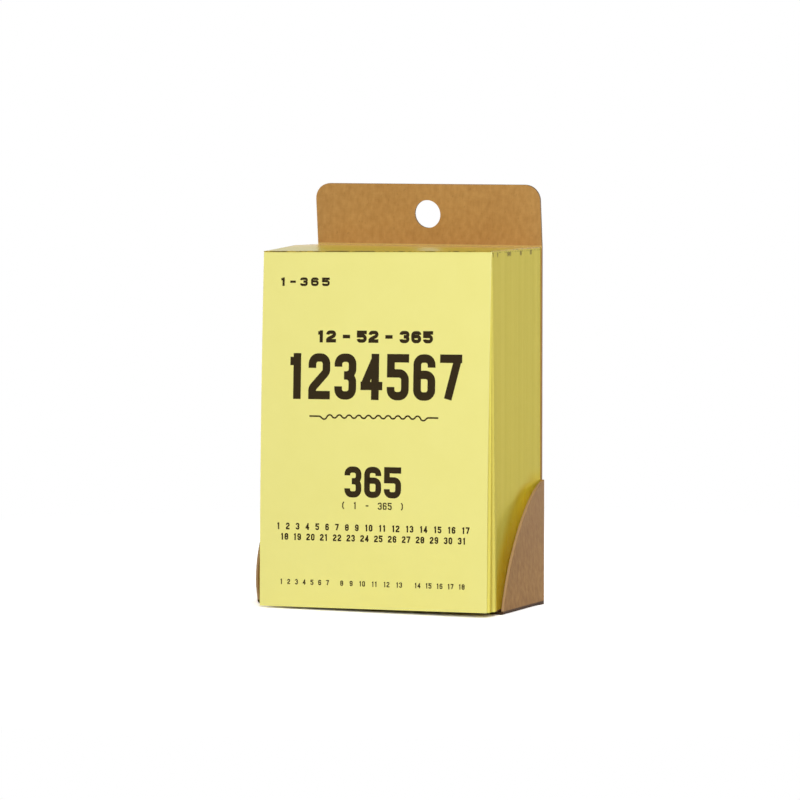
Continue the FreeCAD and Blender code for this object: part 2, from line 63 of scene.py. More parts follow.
class Wire:
    """A socket in a node tree. Sums on it add Math nodes, and node() adds any other node."""

    def __init__(self, tree, socket=None):
        self.tree = tree
        self.socket = socket

    def node(self, kind, sockets=None, out=0, **settings):
        new = self.tree.nodes.new(kind)
        for name, value in settings.items():
            setattr(new, name, value)
        for key, value in (sockets or {}).items():
            if isinstance(value, Wire):
                self.tree.links.new(value.socket, new.inputs[key])
            else:
                new.inputs[key].default_value = value
        return Wire(self.tree, new.outputs[out] if new.outputs else None)

    def other(self, out):
        """Another output of the node that this one comes from."""
        return Wire(self.tree, self.socket.node.outputs[out])

    def parts(self):
        """The three numbers of this vector."""
        first = self.node("ShaderNodeSeparateXYZ", {0: self})
        return first, first.other(1), first.other(2)

    def math(self, operation, *values, clamp=False):
        sockets = dict(enumerate(values))
        return self.node("ShaderNodeMath", sockets, operation=operation, use_clamp=clamp)

    def __add__(self, other):
        return self.math("ADD", self, other)

    def __sub__(self, other):
        return self.math("SUBTRACT", self, other)

    def __rsub__(self, other):
        return self.math("SUBTRACT", other, self)

    def __mul__(self, other):
        return self.math("MULTIPLY", self, other)

    def __truediv__(self, other):
        return self.math("DIVIDE", self, other)

    def __pow__(self, other):
        return self.math("POWER", self, other)

    def __gt__(self, other):
        return self.math("GREATER_THAN", self, other)

    def __lt__(self, other):
        return self.math("LESS_THAN", self, other)

    def __abs__(self):
        return self.math("ABSOLUTE", self)

    __radd__ = __add__
    __rmul__ = __mul__

    def either(self, other):
        """The larger of the two."""
        return self.math("MAXIMUM", self, other)

    def clamped(self):
        """This, held between 0 and 1."""
        return self.math("ADD", self, 0.0, clamp=True)

    def rise(self, low, high):
        """0 below low, 1 above high, and smooth between them."""
        sockets = {0: self, 1: low, 2: high}
        return self.node("ShaderNodeMapRange", sockets, interpolation_type="SMOOTHSTEP")

    def tint(self, start, end):
        """The colour start where this is 0, and end where it is 1."""
        return self.node("ShaderNodeMix", {0: self, 6: start, 7: end}, out=2, data_type="RGBA")

    def scaled(self, factors):
        """This vector, stretched by a factor along each axis."""
        return self.node("ShaderNodeVectorMath", {0: self, 1: factors}, operation="MULTIPLY")

    def noise(self, size, detail=2.0, roughness=0.5):
        """Noise from 0 to 1 with features of that size, over this vector."""
        sockets = {"Vector": self, "Scale": 1 / size, "Detail": detail, "Roughness": roughness}
        return self.node("ShaderNodeTexNoise", sockets)


def colour(red, green, blue):
    """A colour as it looks on a screen, 0 to 255, as the linear one that a shader takes."""
    linear = []
    for part in (red, green, blue):
        part /= 255
        linear.append(part / 12.92 if part <= 0.04045 else ((part + 0.055) / 1.055) ** 2.4)
    return (*linear, 1.0)


def finish(name):
    """A new material, the wire that starts its nodes and its object coordinates."""
    made = bpy.data.materials.new(name)
    made.use_nodes = True
    made.node_tree.nodes.clear()
    start = Wire(made.node_tree)
    place = start.node("ShaderNodeTexCoord", out="Object")
    return made, start, place


def surface(start, base, roughness, height=None, depth=0.0, strength=1.0, **constants):
    """Closes a material: a Principled shader, with a bump where a height is given."""
    sockets = {"Base Color": base, "Roughness": roughness}
    if height is not None:
        bump = {"Height": height, "Distance": depth, "Strength": strength}
        sockets["Normal"] = start.node("ShaderNodeBump", bump)
    sockets.update({name.replace("_", " "): value for name, value in constants.items()})
    shader = start.node("ShaderNodeBsdfPrincipled", sockets)
    start.node("ShaderNodeOutputMaterial", {"Surface": shader})


def kraft_board():
    """Brown unbleached board: mottled, with fibres and flecks, with painted light and shade on it:
    a paler band along the crease above the pad, lighter outer sides low down, darker head edges
    and a dark foot.
    """
    inside, inside_dark = colour(197, 151, 87), colour(173, 127, 69)
    outside, outside_dark = colour(153, 114, 64), colour(129, 90, 46)
    lit_low_outside = colour(184, 138, 74)
    fleck_brown, lit_crease_colour = colour(112, 74, 38), colour(228, 196, 116)
    shaded_head_cut, ear_cut = colour(124, 102, 80), colour(186, 152, 112)
    painted_foot_shadow = colour(48, 28, 12)

    board, start, place = finish("kraft_board")
    across, back, up = place.parts()
    facing_x, facing_y, facing_z = place.other("Normal").parts()

    # Coordinates that run along the board on its ears as well as on its back.
    run, rise = across + back, up + 0.5 * back
    sheet = start.node("ShaderNodeCombineXYZ", {0: run, 1: rise, 2: 0.0})
    fibre_width, fibre_stretch = 0.35 * mm, 0.14
    upright_fibres = sheet.scaled((1.0, fibre_stretch, 1.0)).noise(fibre_width, detail=3.0)
    lying_fibres = sheet.scaled((fibre_stretch, 1.0, 1.0)).noise(fibre_width, detail=3.0)
    fibres = 0.6 * upright_fibres + 0.4 * lying_fibres
    mottle = sheet.scaled((1.0, 0.7, 1.0)).noise(1.5 * mm)
    cloud = sheet.noise(14 * mm, detail=3.0)
    fleck = sheet.scaled((1.0, 0.6, 1.0)).noise(0.9 * mm, detail=1.0).rise(0.68, 0.78)

    # Where on the folded board a point lies.
    outer = (facing_x * across.math("SIGN", across)).either(facing_y)
    outer = outer.either(0.0 - facing_z).rise(0.3, 0.7)
    on_head = up > ear_top
    fold_depth, floor_height = 1.2 * mm, 1.5 * mm
    on_ears = (back < panel_front - fold_depth) * (1.0 - on_head)
    above_floor = up > table + floor_height
    ear_edge = (abs(facing_y) > 0.6).either((abs(facing_x) < 0.5) * above_floor) * on_ears
    head_edge = on_head * (abs(facing_y) < 0.5)
    # Painted light: a paler band along the crease just above the pad's top, for light that the
    # glossy glue throws up onto the board.
    crease_height, crease_front = pad_top + 0.3 * mm, panel_front + 0.3 * mm
    lit_crease_band = 1.0 - abs(up - crease_height).rise(0.2 * mm, 0.5 * mm)
    lit_crease_band = lit_crease_band * (back < crease_front)
    # Painted light: the outer side is painted lighter and warmer towards the foot, for the light
    # that falls on its lower part.
    lower = 1.0 - (up - table).rise(0.0, 35 * mm)
    # Painted shadow: the board's lowest millimetre, on ears and flaps alike, is painted near black
    # brown for the dark gap where it meets the table.
    foot = 1.0 - (up - table).rise(0.8 * mm, 1.2 * mm)

    # The outer side takes the painted light low down.
    base = (outer * lower * 0.35).tint(outer.tint(inside, outside), lit_low_outside)
    shade = (fibres - 0.5) * 0.8 + (mottle - 0.5) * 1.35 + (cloud - 0.5) * 0.7 + 0.42
    base = shade.clamped().tint(base, outer.tint(inside_dark, outside_dark))
    base = (fleck * 0.2).tint(base, fleck_brown)
    # The painted light along the crease.
    base = (lit_crease_band * 0.8).tint(base, lit_crease_colour)
    # Painted shade: the head's cut edges are painted a darker grey brown than the ears', for the
    # shade they stand in.
    base = (head_edge * 0.9).tint(base, shaded_head_cut)
    base = (ear_edge * 0.85).tint(base, ear_cut)
    # The painted shadow along the foot.
    base = (foot * 0.92).tint(base, painted_foot_shadow)
    surface(start, base, 0.8 + 0.12 * fibres, height=fibres, depth=0.03 * mm,
            strength=0.5, Specular_IOR_Level=0.15)
    return board


holder.data.materials.clear()
holder.data.materials.append(kraft_board())


# ---- The leaves ----
# One thin paper leaf for each day, cut flush and glued at the top. Those on the holder's floor
# stand upright. Those in front of its edge have slumped on the left and fan out at the foot.
leaf_width = 69.8 * mm
leaf_height = 99.78 * mm
leaves_in_block = 356
slump = 0.95 * mm  # of the front leaves' left side
# Depths from the back panel's front face.
slump_start = 16 * mm
floor_edge = 31.5 * mm
slump_end = 34.6 * mm
block_front = 34.8 * mm
near_root = 34.86 * mm
far_root = 35.1 * mm


def leaf_tree():
    """Leaves one behind another, each a thin closed box that is slumped, splayed and bowed."""
    tree = bpy.data.node_groups.new("leaves", "GeometryNodeTree")
    tree.interface.new_socket("Geometry", in_out="INPUT", socket_type="NodeSocketGeometry")
    tree.interface.new_socket("Geometry", in_out="OUTPUT", socket_type="NodeSocketGeometry")
    names = ("First Depth", "Last Depth", "First Splay", "Last Splay", "Splay Start", "Bow",
             "Width", "Height", "Thickness", "Right", "Back", "Top", "Ragged",
             "Slump", "Slump Start", "Slump End", "Floor Edge", "Loose")
    for name in names:
        tree.interface.new_socket(name, in_out="INPUT", socket_type="NodeSocketFloat")
    for name in ("Leaves", "Seed"):
        tree.interface.new_socket(name, in_out="INPUT", socket_type="NodeSocketInt")
    tree.interface.new_socket("Paper", in_out="INPUT", socket_type="NodeSocketMaterial")

    start = Wire(tree)
    given = start.node("NodeGroupInput").other
    first, last = given("First Depth"), given("Last Depth")
    width, height = given("Width"), given("Height")
    levels = 11
    points = start.node("GeometryNodePoints", {"Count": given("Leaves")})
    index = start.node("GeometryNodeInputIndex")
    points = start.node("GeometryNodeStoreNamedAttribute",
                        {"Geometry": points, "Name": "leaf", "Value": index},
                        data_type="FLOAT", domain="POINT")
    blank = start.node("GeometryNodeMeshCube", {"Size": (1.0, 1.0, 1.0), "Vertices X": 2,
                                                "Vertices Y": 2, "Vertices Z": levels})
    leaves = start.node("GeometryNodeInstanceOnPoints", {"Points": points, "Instance": blank})
    leaves = start.node("GeometryNodeRealizeInstances", {"Geometry": leaves})

    leaf = start.node("GeometryNodeInputNamedAttribute", {"Name": "leaf"}, data_type="FLOAT")
    x, y, z = start.node("GeometryNodeInputPosition").parts()
    leftward, backward, down = 0.5 - x, 0.5 - y, 0.5 - z
    share = leaf / (given("Leaves") - 1)
    root = first + share * (last - first)
    slump_from, slump_to, floor_end = given("Slump Start"), given("Slump End"), given("Floor Edge")
    drop = ((root - slump_from) / (slump_to - slump_from)).clamped() * given("Slump")
    turned = ((root - floor_end) / (slump_to - floor_end)).clamped()
    splay_start, fan_power = given("Splay Start"), 1.5
    fan = ((root - splay_start) / (last - splay_start)).clamped() ** fan_power
    splay = given("First Splay") + (given("Last Splay") - given("First Splay")) * fan
    uneven = start.node("FunctionNodeRandomValue",
                        {2: -1.0, 3: 1.0, "ID": leaf, "Seed": given("Seed")}, out=1)
    ragged = uneven * given("Ragged") * (0.3 + 0.7 * down)

    depth = root + splay * down + 4.0 * given("Bow") * down * (1.0 - down)
    depth = depth + backward * given("Thickness")
    tall = height - splay * splay / (2.0 * height) - drop * leftward * (1.0 - turned)
    foot_swing = 1.4  # the turned leaves' feet go this many times as far right as the slump does
    swing = foot_swing * turned * given("Slump") * down * height / width
    to_right = ragged - leftward * width + swing
    to_top = 0.0 - drop * leftward - down * tall
    settled = start.node("ShaderNodeCombineXYZ", {0: given("Right") + to_right,
                                                  1: given("Back") - depth,
                                                  2: given("Top") + to_top})
    leaves = start.node("GeometryNodeSetPosition", {"Geometry": leaves, "Position": settled})
    tone = start.node("FunctionNodeRandomValue",
                      {2: 0.0, 3: 1.0, "ID": leaf, "Seed": given("Seed") + 7}, out=1)
    # Painted light and shade: this value sets how much of the lit or the shaded leaf colours a
    # loose leaf takes, and falls from a group's rearmost leaf to its frontmost.
    loose = given("Loose") * (1.0 - 0.4 * share)
    for name, value in (("tone", tone), ("loose", loose)):
        leaves = start.node("GeometryNodeStoreNamedAttribute",
                            {"Geometry": leaves, "Name": name, "Value": value},
                            data_type="FLOAT", domain="POINT")
    leaves = start.node("GeometryNodeSetMaterial",
                        {"Geometry": leaves, "Material": given("Paper")})
    start.node("NodeGroupOutput", {"Geometry": leaves})
    return tree


def grown(name, tree, **inputs):
    """The plain mesh that a node tree makes from an empty one or a curve, as a piece."""
    source = inputs.pop("source", None) or bpy.data.meshes.new(name)
    host = bpy.data.objects.new(f"{name}_host", source)
    bpy.context.collection.objects.link(host)
    growth = host.modifiers.new("growth", "NODES")
    growth.node_group = tree
    for item in tree.interface.items_tree:
        key = item.name.replace(" ", "_").lower()
        if item.item_type == "SOCKET" and item.in_out == "INPUT" and key in inputs:
            growth[item.identifier] = inputs[key]
    depsgraph = bpy.context.evaluated_depsgraph_get()
    mesh = bpy.data.meshes.new_from_object(host.evaluated_get(depsgraph))
    mesh.name = name
    bpy.data.objects.remove(host)
    piece = bpy.data.objects.new(name, mesh)
    bpy.context.collection.objects.link(piece)
    return piece


def leaf_paper():
    """Yellow tinted paper: pale on its faces, deeper on its cut edges, dark where glue soaked, and
    with painted light and shade: gold beside the ears, and lit and shaded loose leaves.
    """
    edge_dark, edge_light = colour(193, 178, 66), colour(208, 193, 82)
    lit_near_edge, shaded_far_edge = colour(238, 226, 110), colour(190, 172, 60)
    face_light, face_dark = colour(242, 229, 118), colour(236, 222, 108)
    lit_near_face, shaded_far_face = colour(250, 240, 124), colour(204, 182, 62)
    glue_stain = colour(100, 84, 30)

    paper, start, place = finish("leaf_paper")
    back, up = place.parts()[1:]
    facing_y = place.other("Normal").parts()[1]
    tone = start.node("ShaderNodeAttribute", {}, out=2, attribute_name="tone")
    loose = start.node("ShaderNodeAttribute", {}, out=2, attribute_name="loose")
    near, far = loose.rise(0.0, 0.5), loose.rise(0.5, 1.0)  # the two groups of loose leaves
    from_back, below, above_table = panel_front - back, pad_top - up, up - table
    bundles = start.node("ShaderNodeCombineXYZ", {0: from_back})
    bundles = bundles.noise(2.4 * mm, detail=3.0, roughness=0.6)
    cloud = place.noise(9 * mm)
    speckle = place.noise(0.5 * mm)
    face = abs(facing_y).rise(0.5, 0.8)

    edge = (bundles - 0.5) * 1.5 + (tone - 0.5) * 0.5 + (cloud - 0.5) * 0.3 + 0.5
    edge = edge.clamped().tint(edge_dark, edge_light)
    # Painted light and shade: the near loose leaves are painted paler, as lit through the gap
    # beside the cover, and the far ones darker, as in the cover's shade.
    edge = far.tint(near.tint(edge, lit_near_edge), shaded_far_edge)

    # Painted shade and light: the cut edges behind and just ahead of the ears are painted a deeper
    # gold for the ears' shadow, and a lighter gold close to an ear's edge for light bounced off
    # its inside.
    ear_reach = 27.5 * mm
    below_ear = (1.0 - above_table / (ear_top - table)).clamped()
    from_ear = from_back - ear_reach * below_ear ** 0.5
    painted_ear_shade = 1.0 - from_ear.rise(6 * mm, 12 * mm)
    painted_ear_shade = painted_ear_shade * (1.0 - (up - ear_top).rise(-2 * mm, 4 * mm))
    high = above_table.rise(16 * mm, 28 * mm)
    highest = above_table.rise(30 * mm, 36 * mm)
    bounce_lit_gold = high.tint(colour(242, 202, 20), colour(255, 225, 30))
    bounce_lit_gold = highest.tint(bounce_lit_gold, colour(218, 192, 20))
    # The deeper gold of the painted shadow, away from the ear's edge.
    beyond = high.tint(colour(210, 170, 4), colour(192, 160, 4))
    painted_ear_gold = from_ear.rise(1 * mm, 9 * mm).tint(bounce_lit_gold, beyond)
    edge = (painted_ear_shade * 0.92).tint(edge, painted_ear_gold)

    pale = (cloud * 0.6).tint(face_light, face_dark)
    # The same painted light and shade on the loose leaves' faces.
    pale = far.tint(near.tint(pale, lit_near_face), shaded_far_face)
    base = face.tint(edge, pale)

    # Glue has soaked in just below the top: a broken line and a few spots, each at its depth.
    soaked = 0.0
    for depth, reach in ((7.5, 0.75), (14.7, 0.75), (23.1, 1.5), (31.2, 0.4), (34.4, 0.3)):
        away = abs(from_back - depth * mm)
        soaked = 1.0 - away.rise(0.6 * reach * mm, 1.3 * reach * mm) + soaked
    soaked = soaked * below.rise(0.2 * mm, 0.5 * mm) * (1.0 - below.rise(1.2 * mm, 1.9 * mm))
    trail = below.rise(0.15 * mm, 0.3 * mm) * (1.0 - below.rise(0.3 * mm, 0.7 * mm))
    soaked = (soaked + trail * speckle.rise(0.45, 0.6) * 0.7).clamped() * (1.0 - face)
    base = (soaked * (0.5 + 0.5 * speckle)).tint(base, glue_stain)
    surface(start, base, 0.85, height=tone, depth=0.02 * mm, strength=0.4,
            Specular_IOR_Level=0.12)
    return paper


leaves = leaf_tree()
shared = dict(width=leaf_width, height=leaf_height, right=pad_right, back=panel_front,
              top=pad_top, ragged=0.012 * mm, slump=slump, slump_start=slump_start,
              slump_end=slump_end, floor_edge=floor_edge, paper=leaf_paper())
pitch = (block_front - pad_gap) / leaves_in_block
pressed = 0.985  # a leaf's thickness, as a share of its place in the block
block = grown("leaf_block_leaves", leaves, leaves=leaves_in_block, seed=3,
              first_depth=pad_gap + pitch / 2, last_depth=block_front - pitch / 2,
              first_splay=0.0, last_splay=2.2 * mm, splay_start=floor_edge, bow=0.0,
              thickness=pressed * pitch, loose=0.0, **shared)
near = grown("loose_leaves_near", leaves, leaves=3, seed=5,
             first_depth=near_root, last_depth=near_root + 0.14 * mm,
             first_splay=2.25 * mm, last_splay=2.4 * mm, splay_start=near_root,
             bow=0.4 * mm, thickness=0.09 * mm, loose=0.5, **shared)
far = grown("loose_leaves_far", leaves, leaves=4, seed=9,
            first_depth=far_root, last_depth=far_root + 0.26 * mm,
            first_splay=4.7 * mm, last_splay=5.7 * mm, splay_start=far_root,
            bow=-0.35 * mm, thickness=0.08 * mm, loose=1.0, **shared)
for piece in (block, near, far):
    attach(piece, "stand")
    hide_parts("leaf_block")


# ---- The glue binding ----
# Padding glue brushed over the clamped top edges of the leaves and the cover. It dried as a thin
# glossy film, crowned over the middle, with brush ridges, and small gaps along its front edge are
# painted as shade.
glue_edge = 0.25 * mm
glue_crown = 0.35 * mm
glue_front = 35.85 * mm
brush_ridge = 0.008 * mm
glue_swell = 0.012 * mm


def pad_drop(depth):
    """How far the pad's top has slumped on its left side, at a depth."""
    return slump * min(max((depth - slump_start) / (slump_end - slump_start), 0), 1)


def on_glue(front_share, leftward, side):
    """A point of the film's underside, 0, or top, 1, from its back right corner."""
    depth = pad_gap + (glue_front - pad_gap) * front_share
    if depth < slump_start:
        thick = glue_edge + (glue_crown - glue_edge) * depth / slump_start
    else:
        beyond = min((depth - slump_start) / (floor_edge - slump_start), 1)
        thick = glue_crown + (glue_edge - glue_crown) * beyond
    # A ridge for every 2.4 mm of depth, wandering along the pad, and a slow swell across them.
    ridge = brush_ridge * math.sin(2600 * depth + 2 * math.sin(7 * leftward))
    swell = glue_swell * math.sin(23 * leftward + 700 * depth)
    return (pad_right - leftward * leaf_width, panel_front - depth,
            pad_top - pad_drop(depth) * leftward + side * (thick + ridge + swell))


def closed_sheet(name, rows, columns, point_on):
    """A thin closed piece: two sides of rows and columns of faces, and the rim between them."""
    points = [point_on(row / rows, column / columns, side)
              for side in (0, 1) for row in range(rows + 1) for column in range(columns + 1)]
    step = columns + 1
    above = (rows + 1) * step
    faces = []
    for row in range(rows):
        for column in range(columns):
            a = row * step + column
            faces.append((a, a + 1, a + step + 1, a + step))
            a += above
            faces.append((a, a + step, a + step + 1, a + 1))
    rim = list(range(columns)) + [row * step + columns for row in range(rows)]
    rim += list(range(rows * step + columns, rows * step, -1))
    rim += [row * step for row in range(rows, 0, -1)]
    for a, b in zip(rim, rim[1:] + rim[:1]):
        faces.append((a, a + above, b + above, b))
    mesh = bpy.data.meshes.new(name)
    mesh.from_pydata(points, [], faces)
    piece = bpy.data.objects.new(name, mesh)
    bpy.context.collection.objects.link(piece)
    return piece


def dried_glue():
    """Pale glue over the back leaves, yellower to the front, where small gaps along its edge are
    painted dark as shade.
    """
    glue, start, place = finish("padding_glue")
    from_back = panel_front - place.parts()[1]
    upward = abs(place.other("Normal").parts()[2])
    ridges = place.scaled((0.15, 1.0, 1.0)).noise(0.8 * mm, detail=3.0)
    cloud = place.noise(6 * mm)
    gap_shade = place.scaled((0.35, 1.0, 1.0)).noise(2.2 * mm, detail=1.0).rise(0.52, 0.6)
    beads = place.noise(1.2 * mm, detail=1.0).rise(0.48, 0.6)
    at_back = 1.0 - from_back.rise(4 * mm, 16 * mm)
    amber = from_back.rise(12 * mm, 28 * mm)
    at_front = from_back.rise(glue_front - 1.3 * mm, glue_front - 0.5 * mm)
    rim = 1.0 - upward.rise(0.3, 0.6)
    thick = amber.tint(colour(250, 218, 98), colour(222, 204, 48))
    thin = amber.tint(colour(252, 224, 112), colour(232, 214, 66))
    base = (ridges * 0.5 + cloud * 0.5).tint(thick, thin)
    base = (at_back * 0.8).tint(base, colour(255, 224, 146))
    base = (rim * 0.9).tint(base, beads.tint(colour(178, 144, 46), colour(128, 104, 32)))
    # Painted shade in small gaps along the front edge.
    base = (gap_shade * at_front * 0.75).tint(base, colour(96, 78, 26))
    rough = 0.75 - 0.5 * upward.rise(0.5, 0.9) + 0.1 * ridges
    surface(start, base, rough, height=ridges, depth=0.03 * mm, strength=0.2, IOR=1.5)
    return glue


glue = closed_sheet("glue_film", 60, 90, on_glue)
for face in glue.data.polygons:  # the rim stays sharp
    face.use_smooth = abs(face.normal.z) > 0.7
glue.data.materials.append(dried_glue())
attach(glue, "stand")
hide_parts("glue_binding")


# ---- The front cover ----
# A sheet of stouter yellow paper, glued at its top edge over the first leaf. It has slumped with
# the leaves behind it, so it hangs turned, bows forward and stands off them at the foot.
cover_root = 35.5 * mm
cover_thickness = 0.25 * mm
cover_splay = 6.0 * mm
cover_bow = 0.6 * mm
cover_waver = 0.05 * mm
cover_top = pad_top - 0.1 * mm
turn = math.asin(slump / leaf_width)


def on_cover(right, down, out):
    """A point of the cover, from its top left corner, out in front of its back face."""
    share = down / leaf_height
    drop = math.sqrt(leaf_height**2 - cover_splay**2) * share
    belly = 4 * cover_bow * share * (1 - share)
    waver = cover_waver * math.sin(90 * right + 1.3) * math.sin(60 * down) * share
    depth = cover_root + cover_splay * share + belly + waver + out
    a = right - leaf_width
    return (pad_right + a * math.cos(turn) + drop * math.sin(turn), panel_front - depth,
            cover_top + a * math.sin(turn) - drop * math.cos(turn))


def cover_paper():
    """Stout smooth paper with a slight sheen, faintly clouded."""
    paper, start, place = finish("cover_paper")
    cloud = place.noise(11 * mm, detail=3.0)
    tooth = place.noise(0.25 * mm, detail=3.0)
    base = (cloud * 0.7 + tooth * 0.3).tint(colour(240, 232, 134), colour(246, 239, 146))
    surface(start, base, 0.6 + 0.1 * tooth, height=tooth, depth=0.01 * mm, strength=0.4,
            Specular_IOR_Level=0.4)
    return paper


cover = closed_sheet("cover_sheet", 40, 28, lambda down, right, side: on_cover(
    leaf_width * right, leaf_height * down, side * cover_thickness))
cover.data.materials.append(cover_paper())
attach(cover, "cover")
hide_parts("front_cover")


# ---- The print on the cover ----
# Dark brown ink in rows about the middle line: plain numbers in heavy condensed strokes, a small
# waved rule and rows of day numbers. Each stroke is a thin ribbon that follows the sheet's bow.
ink_thickness = 0.02 * mm
overlap_step = 0.001 * mm  # keeps the faces of crossing strokes apart
# The strokes of each mark, in a square of its own with the foot at 0 and the top at 1.
strokes_of = {
    "0": [((0.5, 0), (0, 0), (0, 1), (1, 1), (1, 0), (0.5, 0))],
    "1": [((0.3, 0.9), (0.6, 0.9)), ((0.65, 0), (0.65, 1))],
    "2": [((0, 0.72), (0, 1), (1, 1), (1, 0.62), (0, 0.18), (0, 0.04)), ((0, 0), (1, 0))],
    "3": [((0, 0.76), (0, 1), (1, 1), (1, 0.53), (0.4, 0.53)),
          ((0.4, 0.53), (1, 0.53), (1, 0), (0, 0), (0, 0.24))],
    "4": [((0.75, 0), (0.75, 1)), ((0.72, 0.94), (0.02, 0.3)), ((0, 0.26), (1, 0.26))],
    "5": [((0, 1), (1, 1)), ((0, 1), (0, 0.6)), ((0, 0.6), (1, 0.6), (1, 0), (0, 0), (0, 0.24))],
    "6": [((1, 0.76), (1, 1), (0, 1), (0, 0), (1, 0), (1, 0.57), (0, 0.57))],
    "7": [((0, 1), (1, 1)), ((0.94, 0.93), (0.3, -0.07))],
    "8": [((0, 0.53), (0, 1), (1, 1), (1, 0.53)), ((0, 0.53), (0, 0), (1, 0), (1, 0.53)),
          ((0, 0.53), (1, 0.53))],
    "9": [((0, 0.24), (0, 0), (1, 0), (1, 1), (0, 1), (0, 0.43), (1, 0.43))],
    "-": [((0.2, 0.5), (0.8, 0.5))],
    "(": [((0.9, 1.1), (0.3, 0.8), (0.3, 0.2), (0.9, -0.1))],
    ")": [((0.1, 1.1), (0.7, 0.8), (0.7, 0.2), (0.1, -0.1))],
}


def ribbon_tree():
    """Flat strokes along a curve: corners rounded, a rectangular section, closed ends."""
    tree = bpy.data.node_groups.new("strokes", "GeometryNodeTree")
    tree.interface.new_socket("Geometry", in_out="INPUT", socket_type="NodeSocketGeometry")
    tree.interface.new_socket("Geometry", in_out="OUTPUT", socket_type="NodeSocketGeometry")
    for name in ("Stroke", "Corner", "Ink Thickness"):
        tree.interface.new_socket(name, in_out="INPUT", socket_type="NodeSocketFloat")
    for name in ("Corner Steps", "Cuts"):
        tree.interface.new_socket(name, in_out="INPUT", socket_type="NodeSocketInt")
    tree.interface.new_socket("Ink", in_out="INPUT", socket_type="NodeSocketMaterial")
    start = Wire(tree)
    given = start.node("NodeGroupInput").other
    lines = start.node("GeometryNodeSetCurveNormal", {"Curve": given("Geometry")}, mode="Z_UP")
    lines = start.node("GeometryNodeFilletCurve",
                       {"Curve": lines, "Radius": given("Corner"), "Limit Radius": True,
                        "Count": given("Corner Steps")}, mode="POLY")
    lines = start.node("GeometryNodeSubdivideCurve", {"Curve": lines, "Cuts": given("Cuts")})
    section = start.node("GeometryNodeCurvePrimitiveQuadrilateral",
                         {"Width": given("Stroke"), "Height": given("Ink Thickness")})
    ribbons = start.node("GeometryNodeCurveToMesh",
                         {"Curve": lines, "Profile Curve": section, "Fill Caps": True})
    ribbons = start.node("GeometryNodeRealizeInstances", {"Geometry": ribbons})
    ribbons = start.node("GeometryNodeSetMaterial",
                         {"Geometry": ribbons, "Material": given("Ink")})
    start.node("NodeGroupOutput", {"Geometry": ribbons})
    return tree


def row_of(text, middle, down, wide, high, stroke, aspect):
    """The strokes of a row of numbers, middle and down from the sheet's top left corner."""
    tall, broad = high - stroke, aspect * high - stroke
    narrow = 0.65 * broad
    breadth = {mark: narrow if mark in "1()" else broad for mark in set(text) - {" "}}
    gap = stroke + 0.16 * high
    used = sum(breadth.get(mark, 0) for mark in text)
    words = text.count(" ")
    if words:
        joins = len(text.replace(" ", "")) - 1 - words
        space = (wide - stroke - used - gap * joins) / words
    else:
        gap, space = (wide - stroke - used) / (len(text) - 1), 0
    runs, cursor = [], middle - (wide - stroke) / 2
    for mark, after in zip(text, text[1:] + " "):
        if mark == " ":
            cursor += space
            continue
        for line in strokes_of[mark]:
            run = [[cursor + x * breadth[mark], -down + (y - 0.5) * tall] for x, y in line]
            # A single upright or level stroke reaches half its width past both ends.
            for axis in (0, 1):
                if len(run) == 2 and run[0][1 - axis] == run[1][1 - axis]:
                    run[0][axis] -= math.copysign(stroke / 2, run[1][axis] - run[0][axis])
                    run[1][axis] += math.copysign(stroke / 2, run[1][axis] - run[0][axis])
            runs.append(run)
        cursor += breadth[mark] + (gap if after != " " else 0)
    return runs


def printed(name, rows, tree, ink):
    """One mesh of all the rows' strokes, sunk a little into the cover's face."""
    lift = cover_thickness + 0.35 * ink_thickness
    points, faces = [], []
    for lines, stroke, corner, cuts in rows:
        curve = bpy.data.curves.new(name, "CURVE")
        curve.dimensions = "3D"
        for order, line in enumerate(lines):
            spline = curve.splines.new("POLY")
            spline.points.add(len(line) - 1)
            for point, (x, y) in zip(spline.points, line):
                point.co = (x, y, order % 3 * overlap_step, 1.0)
        ribbons = grown(name, tree, source=curve, stroke=stroke, corner=corner,
                        ink_thickness=ink_thickness, corner_steps=5, cuts=cuts, ink=ink)
        first = len(points)
        for vertex in ribbons.data.vertices:
            x, y, z = vertex.co
            points.append(on_cover(x, -y, z + lift))
        faces += [tuple(first + i for i in face.vertices) for face in ribbons.data.polygons]
        bpy.data.objects.remove(ribbons)
    mesh = bpy.data.meshes.new(name)
    mesh.from_pydata(points, [], faces)
    mesh.materials.append(ink)
    piece = bpy.data.objects.new(name, mesh)
    bpy.context.collection.objects.link(piece)
    return piece


def brown_ink():
    """Dull dark brown ink, a little uneven on the paper's tooth."""
    ink, start, place = finish("brown_ink")
    tooth = place.noise(0.3 * mm, detail=3.0)
    base = tooth.tint(colour(36, 26, 5), colour(52, 39, 12))
    surface(start, base, 0.6 + 0.15 * tooth, Specular_IOR_Level=0.15)
    return ink


middle = leaf_width / 2
rule_down, rule_reach, rule_stroke = 46 * mm, 19.8 * mm, 0.45 * mm
wave_step, wave_height, crests = 1.5 * mm, 1.3 * mm, 10
wave = [(middle + step * wave_step, -rule_down + (wave_height if step % 2 else -wave_height))
        for step in range(-crests, crests + 1)]
wave = [(middle - rule_reach, -rule_down), (wave[0][0] - wave_step, -rule_down), *wave,
        (wave[-1][0] + wave_step, -rule_down), (middle + rule_reach, -rule_down)]


def counted(first, last):
    """The whole numbers from first to last, with spaces between them."""
    return " ".join(str(number) for number in range(first, last + 1))


